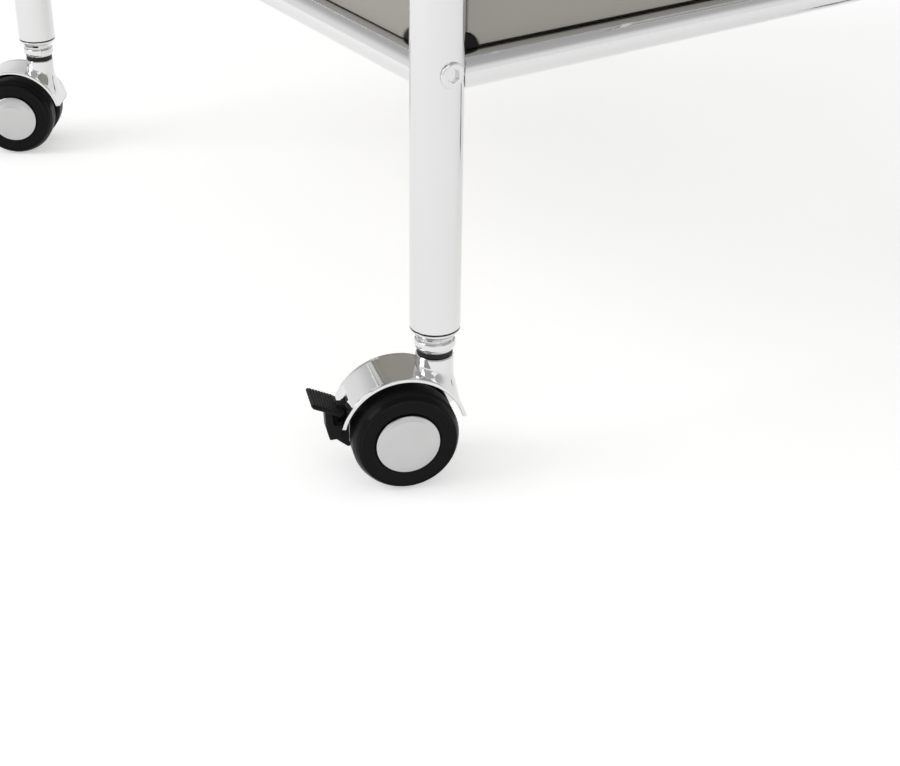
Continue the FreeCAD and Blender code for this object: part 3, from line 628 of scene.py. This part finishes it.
@dataclass
class Panels:
    """Side and back panels, decks and the black corner blocks.

    Args:
        sheet: thickness of the steel.
        lip: width of the return lip.
        bend: outer radius of a fold.
        notch: cut of an upright panel's corner.
        deck_notch: cut of a deck's corner round its leg.
        block_play: gap between a block and its notch.
        block_depth: thickness of a block.
        block_set: how far a block stands behind the panel's face.
        rail_gap: distance from a leg's axis to a block's near side.
        rail_radius: outer radius of a rail.
    """

    sheet: float = 0.001
    lip: float = 0.016
    bend: float = 0.0013
    notch: CornerCut = CornerCut(0.011, 0.0028)
    deck_notch: CornerCut = CornerCut(0.0175, 0.011)
    block_play: float = 0.00035
    block_depth: float = 0.012
    block_set: float = 0.0006
    rail_gap: float = 0.0142
    rail_radius: float = 0.0095

    def upright(self, node: str, across: Vector, inward: Vector,
                cuts: Sequence[CornerCut]) -> Surface:
        """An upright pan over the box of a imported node.

        Args:
            node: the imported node.
            across: direction of the pan's width.
            inward: direction from its face into the trolley.
            cuts: its corner shapes.

        Returns:
            The pan, in place.
        """
        low, high = (np.array(v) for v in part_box(node))
        middle, size = (low + high) / 2, high - low
        wide = abs(float(np.dot(size, across)))
        deep = abs(float(np.dot(size, inward)))
        tall = float(size[2])
        origin = Vector(middle) - across * wide / 2 - inward * deep / 2 - Z * tall / 2
        section = pan_section(deep, self.sheet, self.lip, self.bend)
        return folded(wide, tall, cuts, section).seated(origin, across, Z, inward)

    def walls(self) -> None:
        """The two side panels and the back panel."""
        four = [self.notch] * 4
        for node, across, inward in (("side_panel_left", -Y, X), ("side_panel_right", Y, -X),
                                     ("back_panel", -X, -Y)):
            make_piece(f"{node}_pan", [self.upright(node, across, inward, four)], GREIGE,
                       "frame", [node])

    def decks(self) -> None:
        """The floor, the shelf and the top deck."""
        for node in ("floor_deck", "shelf_deck", "top_deck"):
            low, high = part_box(node)
            section = pan_section(high.z - low.z, self.sheet, self.lip, self.bend)
            shape = folded(high.x - low.x, high.y - low.y, [self.deck_notch] * 4, section)
            origin = Vector((low.x, low.y, high.z))
            make_piece(f"{node}_pan", [shape.seated(origin, X, Y, -Z)], GREIGE, "frame", [node])

    def block(self, gap_leg: float, gap_rail: float) -> Surface:
        """A corner block, drawn with the leg's axis at x = 0 and the rail's at y = 0.

        Its outline at inset s is a rectangle's corner closed by the arc of radius R - s
        about the notch's centre, from the lower edge to straight above the centre.

        Args:
            gap_leg: distance from the leg's axis to the panel's edge.
            gap_rail: distance from the rail's axis to the panel's edge.

        Returns:
            The block, with its face at z = 0 and its depth along +z.
        """
        radius = self.notch.radius - self.block_play
        centre = np.array([gap_leg - self.notch.centre, gap_rail - self.notch.centre])
        start = np.array([self.rail_gap, self.rail_radius + 0.00005])
        section = rounded([(0.0015, 0.0, 0), (0.0, 0.0, 0.001), (0.0, self.block_depth, 0.0008),
                           (0.0015, self.block_depth, 0)], 5)
        rings = []
        for inset, depth in section:
            low = math.asin((start[1] + inset - centre[1]) / (radius - inset))
            angle = np.linspace(low, math.pi / 2, 24)
            arc = centre + (radius - inset) * np.stack([np.cos(angle), np.sin(angle)], -1)
            edge = start + inset
            flat = np.vstack([edge, arc, (edge[0], arc[-1, 1])])
            rings.append(np.column_stack([flat, np.full(len(flat), depth)]))
        return ringed(np.array(rings))

    def blocks(self) -> None:
        """A block in each corner of the four upright faces."""
        low_rails, mid_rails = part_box("low_rails"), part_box("mid_rails")
        levels = [((low_rails[0].z + low_rails[1].z) / 2, Z),
                  ((mid_rails[0].z + mid_rails[1].z) / 2, -Z)]
        front_low, front_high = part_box("lower_drawer_front")
        side_low, side_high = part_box("side_panel_left")
        right, back = Corner.BACK_RIGHT.axis.x, Corner.BACK_RIGHT.axis.y
        front_gaps = (right - front_high.x, front_low.z - levels[0][0])
        fixed_gaps = (back - side_high.y, side_low.z - levels[0][0])
        faces = [(Vector((0, -back, 0)), X, Y, right, front_gaps),
                 (Vector((0, back, 0)), X, -Y, right, fixed_gaps),
                 (Vector((-right, 0, 0)), Y, X, back, fixed_gaps),
                 (Vector((right, 0, 0)), Y, -X, back, fixed_gaps)]
        placed = []
        for middle, across, inward, half, gaps in faces:
            shape = self.block(*gaps)
            for sign in (-1, 1):
                for height, up in levels:
                    origin = middle + across * sign * half + inward * self.block_set + Z * height
                    placed.append(shape.seated(origin, -sign * across, up, inward))
        make_piece("rounded_corner_blocks", placed, GLOSS_BLACK, "frame", ["corner_blocks"])

    def build(self) -> None:
        """All fixed sheet work."""
        self.walls()
        self.decks()
        self.blocks()
        dress(["deck_pads"], RUBBER)
        dress(["runner_fixed"], ZINC)


# ---------------------------------------------------------------- drawers
@dataclass
class Drawer:
    """One drawer: front, pull, box and its runner members.

    Args:
        tier: which drawer.
        panels: the fixed sheet work, whose folding rules it shares.
        box_sheet: thickness of the box's steel.
        bar_radius: radius of the pull's bar.
        post_radius: radius of the pull's posts.
        span: distance between the posts.
    """

    tier: Tier
    panels: Panels
    box_sheet: float = 0.0012
    bar_radius: float = 0.005
    post_radius: float = 0.004
    span: float = 0.128

    def front(self) -> None:
        """The folded front, cut round the blocks at its outer corners."""
        cut = self.panels.notch
        lower = self.tier is Tier.LOWER
        cuts = [cut, cut, PLAIN, PLAIN] if lower else [PLAIN, PLAIN, cut, cut]
        node = f"{self.tier.value}_drawer_front"
        make_piece(f"{node}_pan", [self.panels.upright(node, X, Y, cuts)], GREIGE,
                   f"{self.tier.value}_drawer", [node])

    def tray(self) -> None:
        """The open box: its section runs up the outer wall, over the rim and down inside."""
        node = f"{self.tier.value}_drawer_box"
        low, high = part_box(node)
        tall = high.z - low.z
        sheet = self.box_sheet
        section = rounded([
            (0.006, 0.0, 0), (0.0, 0.0, 0.002), (0.0, tall, 0.0005), (sheet, tall, 0.0005),
            (sheet, sheet, 0.001), (0.006, sheet, 0),
        ], 5)
        shape = folded(high.x - low.x, high.y - low.y, [CornerCut(0.002, notch=False)] * 4, section)
        make_piece(f"{node}_tray", [shape.seated(low, X, Y, Z)], GREIGE,
                   f"{self.tier.value}_drawer", [node])

    def pull(self) -> None:
        """The bar pull: a bar with domed ends on two posts with flared feet."""
        node = f"{self.tier.value}_drawer_pull"
        low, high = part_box(node)
        run, reach = high.x - low.x, high.y - low.y - self.bar_radius
        bar = turned(rounded([
            (0.0, 0.0, 0), (self.bar_radius, 0.0, 0.002), (self.bar_radius, run, 0.002),
            (0.0, run, 0),
        ], 8), 64)
        post = turned(rounded([
            (0.0, 0.001, 0), (self.post_radius, 0.001, 0), (self.post_radius, reach - 0.004, 0.004),
            (self.post_radius + 0.002, reach - 0.0012, 0.001), (self.post_radius + 0.002, reach, 0),
            (0.0, reach, 0),
        ], 6), 48)
        y, z = low.y + self.bar_radius, (low.z + high.z) / 2
        shapes = [bar.seated(Vector((low.x, y, z)), Y, Z, X)]
        for sign in (-1, 1):
            shapes.append(post.seated(Vector((sign * self.span / 2, y, z)), Z, X, Y))
        make_piece(f"{node}_bar", shapes, CHROME, f"{self.tier.value}_drawer", [node])

    def build(self) -> None:
        """The whole drawer."""
        self.front()
        self.tray()
        self.pull()
        dress([f"{self.tier.value}_runner_inner", f"{self.tier.value}_runner_middle"], ZINC)


# ---------------------------------------------------------------- casters
@dataclass
class Caster:
    """One twin-wheel caster, drawn in its own frame and turned under its leg.

    In its own frame the swivel axis is z, the floor is z = 0 and the wheels trail towards
    +x, so the axle runs along y through (trail, axle_high).

    Args:
        corner: where it stands.
        trail: distance from the swivel axis to the axle.
        axle_high: height of the axle.
        wheel_radius: radius of a wheel.
        wheel_in: axial place of a wheel's inner face.
        wheel_out: axial place of its outer shoulder.
        bore: radius of its bore.
        cap_radius: radius of a hub cap.
        hood_in: inner radius of the hood about the axle.
        hood_out: its outer radius.
        hood_half: half its width.
        hood_start: angle of its edge on the stem's side, above the horizontal.
        hood_end: angle of its far edge, from the same direction.
        slot_top: angle at which the slot for a brake lever starts.
        slot_half: half the slot's width.
        neck: radius of its neck.
        neck_top: height of the neck's top.
        web_half: half the thickness of the web between the wheels.
        web_short: angle by which the web stops before the hood's far edge.
        web_early: angle at which it stops instead where there is a brake.
        tread_deep: depth of a wheel's running band.
    """

    corner: Corner
    trail: float = 0.020
    axle_high: float = 0.030
    wheel_radius: float = 0.030
    wheel_in: float = 0.005
    wheel_out: float = 0.024
    bore: float = 0.00405
    cap_radius: float = 0.018
    hood_in: float = 0.0338
    hood_out: float = 0.0358
    hood_half: float = 0.0155
    hood_start: float = math.radians(11.4)
    hood_end: float = math.radians(168.4)
    slot_top: float = math.radians(145)
    slot_half: float = 0.0032
    neck: float = 0.0105
    neck_top: float = 0.0726
    web_half: float = 0.0044
    web_short: float = 0.1
    web_early: float = math.radians(118)
    tread_deep: float = 0.0012

    def seat(self, shape: Surface) -> Surface:
        """A shape of the caster's own frame, put under its leg."""
        ahead = Vector((math.cos(self.corner.trail), math.sin(self.corner.trail), 0))
        return shape.seated(self.corner.axis, ahead, Z.cross(ahead), Z)

    def on_axle(self, shape: Surface, side: int) -> Surface:
        """A shape turned about z, put on the axle with its outer face towards side."""
        return self.seat(shape.seated(Vector((self.trail, 0, self.axle_high)), X, -side * Z,
                                      side * Y))

    def stem(self) -> list[Surface]:
        """The stem with its lip, groove and collar, the black ring under it and a thin black ring of
        painted shade in the gap between the leg's end and the lip.
        """
        pin, foot = 0.0055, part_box(f"leg_{self.corner.label}")[0].z
        steel = turned(rounded([
            (0.0, 0.058, 0), (pin, 0.058, 0.0005), (pin, 0.0762, 0), (0.0102, 0.0762, 0.0005),
            (0.0116, 0.0786, 0.0035), (0.0113, 0.0822, 0.0012), (0.0092, 0.0826, 0.0004),
            (0.0092, 0.0838, 0.0004), (0.0110, 0.0842, 0.0006), (0.0121, 0.0862, 0.002),
            (0.0139, 0.0880, 0.0008), (0.0139, foot - 0.0009, 0.0003), (0.0124, foot - 0.0009, 0),
            (0.0124, foot + 0.035, 0.001),
            (0.0, foot + 0.035, 0),
        ], 8), 128)
        ring = turned(rounded([
            (pin + 0.0001, 0.0730, 0), (0.0099, 0.0730, 0.0006), (0.0099, 0.0762, 0.0006),
            (pin + 0.0001, 0.0762, 0),
        ], 5, True), 128, True)
        # painted shade: this thin black ring fills the gap between the leg's end and the stem's lip
        # and stands for the shade in that gap
        gap_shade_ring = turned(rounded([
            (0.0125, foot - 0.0008, 0), (0.0134, foot - 0.0008, 0.0001),
            (0.0134, foot - 0.0001, 0.0001), (0.0125, foot - 0.0001, 0),
        ], 3, True), 128, True)
        axis = self.corner.axis
        return [shape.standing(axis.x, axis.y) for shape in (steel, ring, gap_shade_ring)]

    def band(self, low: float, high: float, start: float, end: float) -> Surface:
        """A part of the curved cover over both wheels.

        Its section reaches from low to high along the axle and is hood_out - hood_in thick,
        with a bead at the cover's own two edges. The section is carried about the axle from
        start to end. Near the cover's two ends its width shrinks as a quarter circle, so
        that the corners are round.

        Args:
            low: axial place of one edge.
            high: axial place of the other.
            start: angle at which the part starts.
            end: angle at which it ends.

        Returns:
            The part, closed.
        """
        half, out, inn = self.hood_half, self.hood_out, self.hood_in
        crown = [(place, out + (0.0002 if abs(place) > half - 0.001 else -0.0001), 0.0006)
                 for place in (high, high - 0.0022, (low + high) / 2, low + 0.0022, low)]
        section = rounded([(high, inn, 0.0004), *crown, (low, inn, 0.0004)], 5, True)
        angle = start + (end - start) * np.linspace(0, 1, 90)
        from_end = np.minimum(angle - self.hood_start, self.hood_end - angle) * out
        corner = 0.004
        lost = corner * (1 - np.sqrt(1 - (1 - np.clip(from_end / corner, 0, 1)) ** 2))
        limit = (half - lost)[:, None]
        wide = np.clip(section[None, :, 0], -limit, limit)
        radius = np.broadcast_to(section[None, :, 1], wide.shape)
        x = self.trail - radius * np.cos(angle)[:, None]
        z = self.axle_high + radius * np.sin(angle)[:, None]
        return ringed(np.stack([x, wide, z], -1))

    def fender(self) -> list[Surface]:
        """The whole cover, left open in its middle where a brake lever passes."""
        half, slot = self.hood_half, self.slot_half
        if not self.corner.braked:
            return [self.band(-half, half, self.hood_start, self.hood_end)]
        return [self.band(-half, half, self.hood_start, self.slot_top),
                self.band(slot, half, self.slot_top, self.hood_end),
                self.band(-half, -slot, self.slot_top, self.hood_end)]

    def housing(self) -> Surface:
        """The neck that flares down into the cover.

        Rings run from the round top to the cover's own surface: at angle t the ring is
        (a cos t, b |sin t|^p, z) with b growing from the neck's radius n to just under the
        cover's half width, a growing to the cover's end on the stem's side and staying n on
        the other, p falling from 1 to 0.7, and z going from the top to the height of the
        cover above that x. The last rings shrink over the cover's surface and close it.
        """
        turn = np.linspace(0, 2 * np.pi, 96, endpoint=False)
        drop = np.linspace(0, 1, 40)[:, None]
        flare = np.clip((drop - 0.45) / 0.55, 0, 1)
        flare = flare * flare * (3 - 2 * flare)
        behind = (self.hood_in + self.hood_out) / 2 * math.cos(self.hood_start) - self.trail
        deep = self.neck + (behind - self.neck) * flare * (np.cos(turn) < 0)[None, :]
        x = deep * np.cos(turn)[None, :]
        wide = self.neck + (self.hood_half - 0.0006 - self.neck) * flare
        y = wide * np.sign(np.sin(turn)) * np.abs(np.sin(turn)) ** (1 - 0.3 * flare)

        def cover(across: Array) -> Array:
            """Height of the cover's middle skin above a place along x."""
            middle = (self.hood_in + self.hood_out) / 2
            return self.axle_high + np.sqrt(middle ** 2 - (self.trail - across) ** 2)

        z = self.neck_top + (cover(x) - self.neck_top) * drop
        top = np.stack([x[0] * 0.94, y[0] * 0.94, z[0]], -1)[None]
        z[0] -= 0.0006
        body = np.stack([x, y, z], -1)
        shrink = np.linspace(0.8, 0.02, 5)[:, None]
        under = np.stack([x[-1] * shrink, y[-1] * shrink, cover(x[-1] * shrink)], -1)
        return ringed(np.concatenate([top, body, under]))

    def web(self) -> list[Surface]:
        """The plate between the wheels: a fan under the cover that narrows to the axle's boss.

        Its outline about the axle is r(t) = boss + (fan - boss) f(t), where f rises smoothly
        from 0 to 1 inside the fan's two ends. With a brake the fan ends early and two thin
        cheeks run on beside the lever's arm.
        """
        boss, fan, blend = 0.009, self.hood_in + 0.0006, math.radians(14)
        end = self.web_early if self.corner.braked else self.hood_end - self.web_short
        turn = np.linspace(0, 2 * np.pi, 180, endpoint=False)
        inside = np.clip(np.minimum(turn - self.hood_start, end - turn) / blend, 0, 1)
        radius = boss + (fan - boss) * inside * inside * (3 - 2 * inside)
        outline = np.stack([self.trail - radius * np.cos(turn),
                            self.axle_high + radius * np.sin(turn)], -1)
        plates = [slab(outline, self.web_half, 0.0006)]
        if self.corner.braked:
            cheek = rounded([(0.024, 0.0245, 0.002), (0.046, 0.0215, 0.003),
                             (0.0493, 0.024, 0.002), (0.0493, 0.037, 0.002),
                             (0.0465, 0.0495, 0.004), (0.037, 0.0585, 0.004),
                             (0.024, 0.050, 0.004)], 6, True)
            half = (self.web_half - self.slot_half) / 2
            for side in (-1, 1):
                plates.append(slab(cheek, half, 0.0002).standing(0, side * (self.web_half - half)))
        return plates

    def hood(self) -> None:
        """Cover, neck and web as one piece."""
        shapes = [self.seat(s) for s in (*self.fender(), self.housing(), *self.web())]
        make_piece(f"{self.corner.label}_hood_casting", shapes, CHROME,
                   f"{self.corner.label}_caster", [f"{self.corner.label}_hood"])

    def wheel_profile(self) -> Array:
        """Radius and axial place round a wheel's section, with a ridge at its shoulder."""
        full, out, face = self.wheel_radius, self.wheel_out, self.wheel_out - 0.0008
        seat = self.cap_radius + 0.0004
        return rounded([
            (self.bore, self.wheel_in, 0.0003), (full - 0.002, self.wheel_in, 0.001),
            (full, self.wheel_in + 0.003, 0.003), (full, out - 0.0062, 0.004),
            (full - 0.0012, out - 0.0026, 0.003), (full - 0.0026, out - 0.0004, 0.0010),
            (full - 0.0034, out - 0.0003, 0.0005), (full - 0.0042, face, 0.0006),
            (seat + 0.0008, face, 0.0008), (seat, face - 0.0005, 0.0004),
            (seat, out - 0.002, 0.0002), (self.bore, out - 0.002, 0.0003),
        ], 6, True)

    def wheels(self) -> None:
        """Both wheels and their hub caps."""
        cap_edge, dome = self.wheel_out + 0.0002, self.wheel_out + 0.0030
        cap = rounded([
            (0.0, self.wheel_out - 0.002, 0), (self.cap_radius, self.wheel_out - 0.002, 0.0002),
            (self.cap_radius, cap_edge, 0.0012), (self.cap_radius - 0.003, cap_edge + 0.0011, 0.010),
            (self.cap_radius - 0.009, dome - 0.0004, 0.02), (0.0, dome, 0),
        ], 10)
        for letter, side in (("a", 1), ("b", -1)):
            body = f"{self.corner.label}_wheel_{letter}"
            rim = self.on_axle(turned(self.wheel_profile(), 128, True), side)
            wheel = make_piece(f"{body}_tyre", [rim], GLOSS_BLACK, body, [body])
            self.dress_tread(wheel.data)
            face = self.on_axle(turned(cap, 96), side)
            node = f"{self.corner.label}_hub_cap_{letter}"
            make_piece(f"{node}_dome", [face], SATIN_CHROME, body, [node])

    def dress_tread(self, mesh: bpy.types.Mesh) -> None:
        """Gives the faces of a wheel's running band the duller finish of its tread."""
        mesh.materials.append(TREAD.material())
        middle = np.empty(len(mesh.polygons) * 3, np.float32)
        mesh.polygons.foreach_get("center", middle)
        ahead = np.array([math.cos(self.corner.trail), math.sin(self.corner.trail), 0.0])
        hub = np.array(self.corner.axis) + ahead * self.trail + np.array([0, 0, self.axle_high])
        offset = middle.reshape(-1, 3) - hub
        radius = np.hypot(offset @ ahead, offset[:, 2])
        tread = (radius > self.wheel_radius - self.tread_deep).astype(np.int32)
        mesh.polygons.foreach_set("material_index", tread)

    def brake(self) -> None:
        """The foot lever: an arm between the wheels, a body, a fin and a ridged paddle."""
        arm = rounded([(0.041, 0.0242, 0.002), (0.0495, 0.0195, 0.002), (0.0575, 0.0264, 0.001),
                       (0.0570, 0.033, 0.001), (0.052, 0.0335, 0.002), (0.041, 0.0318, 0.002)],
                      5, True)
        body = rounded([(0.0530, 0.0262, 0.001), (0.0600, 0.0258, 0.001), (0.0618, 0.0330, 0.004),
                        (0.0627, 0.0480, 0.0005), (0.0578, 0.0462, 0.0005),
                        (0.0571, 0.0358, 0.001), (0.0530, 0.0358, 0.001)], 5, True)
        fin = rounded([(0.0450, 0.0310, 0.001), (0.0573, 0.0310, 0.001), (0.0573, 0.0460, 0.001),
                       (0.0550, 0.0474, 0.001), (0.0497, 0.0469, 0.0015), (0.0466, 0.0400, 0.002)],
                      5, True)
        x = np.linspace(0.0695, 0.0558, 120)
        ridge = 0.5 + 0.5 * np.cos(2 * np.pi * (x - 0.0695) / 0.0016)
        inside = np.clip(np.minimum(0.0688 - x, x - 0.0562) / 0.0004, 0, 1)
        top = np.stack([x, 0.0462 + (x - 0.0544) * 0.46 + 0.00045 * ridge * inside], -1)
        under = rounded([(0.0545, 0.0460, 0), (0.0546, 0.0436, 0.0006), (0.0697, 0.0504, 0.0015),
                         (0.0709, 0.0523, 0.0012), (0.0697, 0.0533, 0)], 6)
        paddle = np.concatenate([top, under])
        shapes = [slab(arm, 0.0028, 0.0005), slab(body, 0.0043, 0.0008), slab(fin, 0.0028, 0.0006),
                  slab(paddle, 0.010, 0.0008)]
        make_piece(f"{self.corner.label}_foot_lever", [self.seat(s) for s in shapes], LEVER_BLACK,
                   f"{self.corner.label}_brake", [f"{self.corner.label}_brake_lever"])
        dress([f"{self.corner.label}_brake_pin"], ZINC)

    def build(self) -> None:
        """All moving pieces of the caster."""
        self.hood()
        self.wheels()
        dress([f"{self.corner.label}_axle"], ZINC)
        if self.corner.braked:
            self.brake()


def build_stems(casters: Sequence[Caster]) -> None:
    """The stems and rings of all casters, which stay with the frame. Among the rings is a thin black
    ring of painted shade in the gap under each leg.
    """
    stems = [caster.stem() for caster in casters]
    make_piece("stem_collars", [stem[0] for stem in stems], CHROME, "frame", ["caster_stems"])
    # the rings piece holds the real black rings and, with the same black finish, the rings of
    # painted shade in the gaps under the legs
    make_piece("stem_rings", [ring for stem in stems for ring in stem[1:]], RUBBER, "frame",
               ["caster_rings"])


# ---------------------------------------------------------------- studio
@dataclass
class Studio:
    """Floor, light and camera.

    Args:
        spot: place of the camera.
        yaw: direction that it looks in, in degrees from +X towards +Y.
        pitch: how far it looks down, in degrees.
        roll: how far it leans, in degrees.
        lens: focal length for a sensor 36 mm wide, in millimetres.
        floor_half: half the floor's side.
    """

    spot: tuple[float, float, float] = (-0.6779, -0.9536, 0.5155)
    yaw: float = 55.88
    pitch: float = 30.02
    roll: float = 0.75
    lens: float = 66.70
    floor_half: float = 12.0

    def camera(self) -> None:
        """The camera, in front of the left side and above the lower rails."""
        data = bpy.data.cameras.new("camera")
        data.lens = self.lens
        data.sensor_width = 36.0
        data.clip_start = 0.01
        data.clip_end = 100.0
        lens = bpy.data.objects.new("camera", data)
        bpy.context.scene.collection.objects.link(lens)
        aim = Euler((math.radians(90 - self.pitch), 0, math.radians(self.yaw - 90))).to_matrix()
        lean = Matrix.Rotation(math.radians(self.roll), 3, "Z")
        lens.matrix_world = Matrix.Translation(self.spot) @ (aim @ lean).to_4x4()
        bpy.context.scene.camera = lens

    def floor(self) -> None:
        """A wide pale floor."""
        half = self.floor_half
        mesh = bpy.data.meshes.new("studio_floor")
        mesh.from_pydata([(-half, -half, 0), (half, -half, 0), (half, half, 0), (-half, half, 0)],
                         [], [(0, 1, 2, 3)])
        made = bpy.data.materials.new("studio_floor")
        made.use_nodes = True
        skin = made.node_tree.nodes["Principled BSDF"]
        skin.inputs["Base Color"].default_value = (0.88, 0.88, 0.88, 1)
        skin.inputs["Roughness"].default_value = 0.9
        skin.inputs["Specular IOR Level"].default_value = 0.0
        skin.inputs["Emission Color"].default_value = (1, 1, 1, 1)
        skin.inputs["Emission Strength"].default_value = 0.47
        mesh.materials.append(made)
        piece = bpy.data.objects.new("studio_floor", mesh)
        bpy.context.scene.collection.objects.link(piece)

    def sky(self) -> None:
        """A pale room whose brightness depends on the height above the horizon."""
        world = bpy.data.worlds.new("studio")
        world.use_nodes = True
        nodes, links = world.node_tree.nodes, world.node_tree.links
        place = nodes.new("ShaderNodeTexCoord")
        split = nodes.new("ShaderNodeSeparateXYZ")
        links.new(place.outputs["Generated"], split.inputs["Vector"])
        ramp = nodes.new("ShaderNodeValToRGB")
        stops = ((0.0, 0.95), (0.25, 0.90), (0.35, 0.76), (0.50, 0.52), (0.75, 0.46), (1.0, 0.46))
        while len(ramp.color_ramp.elements) < len(stops):
            ramp.color_ramp.elements.new(0.5)
        for element, (height, light) in zip(ramp.color_ramp.elements, stops):
            element.position = height
            element.color = (light, light, light, 1)
        links.new(split.outputs["Z"], ramp.inputs["Fac"])
        glow = nodes["Background"]
        glow.inputs["Strength"].default_value = 1.0
        links.new(ramp.outputs["Color"], glow.inputs["Color"])
        bpy.context.scene.world = world

    def lamp(self, name: str, spot: tuple[float, float, float], aim: tuple[float, float, float],
             side: float, power: float) -> None:
        """A square soft light.

        Args:
            name: its name.
            spot: where it stands.
            aim: the point that it faces.
            side: its width.
            power: its power in watts.
        """
        data = bpy.data.lights.new(name, "AREA")
        data.size = side
        data.energy = power
        lamp = bpy.data.objects.new(name, data)
        bpy.context.scene.collection.objects.link(lamp)
        way = Vector(aim) - Vector(spot)
        lamp.matrix_world = (Matrix.Translation(spot)
                             @ way.to_track_quat("-Z", "Y").to_matrix().to_4x4())

    def build(self) -> None:
        """The whole studio."""
        bpy.context.scene.view_settings.view_transform = "Standard"
        self.camera()
        self.floor()
        self.sky()
        self.lamp("soft_key", (-2.6, 0.9, 2.0), (0, -0.1, 0.2), 1.6, 24)
        self.lamp("soft_front", (-0.6, -3.0, 2.4), (0, 0, 0.3), 2.0, 8)


def main() -> None:
    """Builds every piece in order."""
    logging.basicConfig(level=logging.INFO)
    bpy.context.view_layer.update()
    TubeFrame().build()
    panels = Panels()
    panels.build()
    for tier in Tier:
        Drawer(tier, panels).build()
    casters = [Caster(corner) for corner in Corner]
    for caster in casters:
        caster.build()
    build_stems(casters)
    Studio().build()


if __name__ == "__main__":
    main()
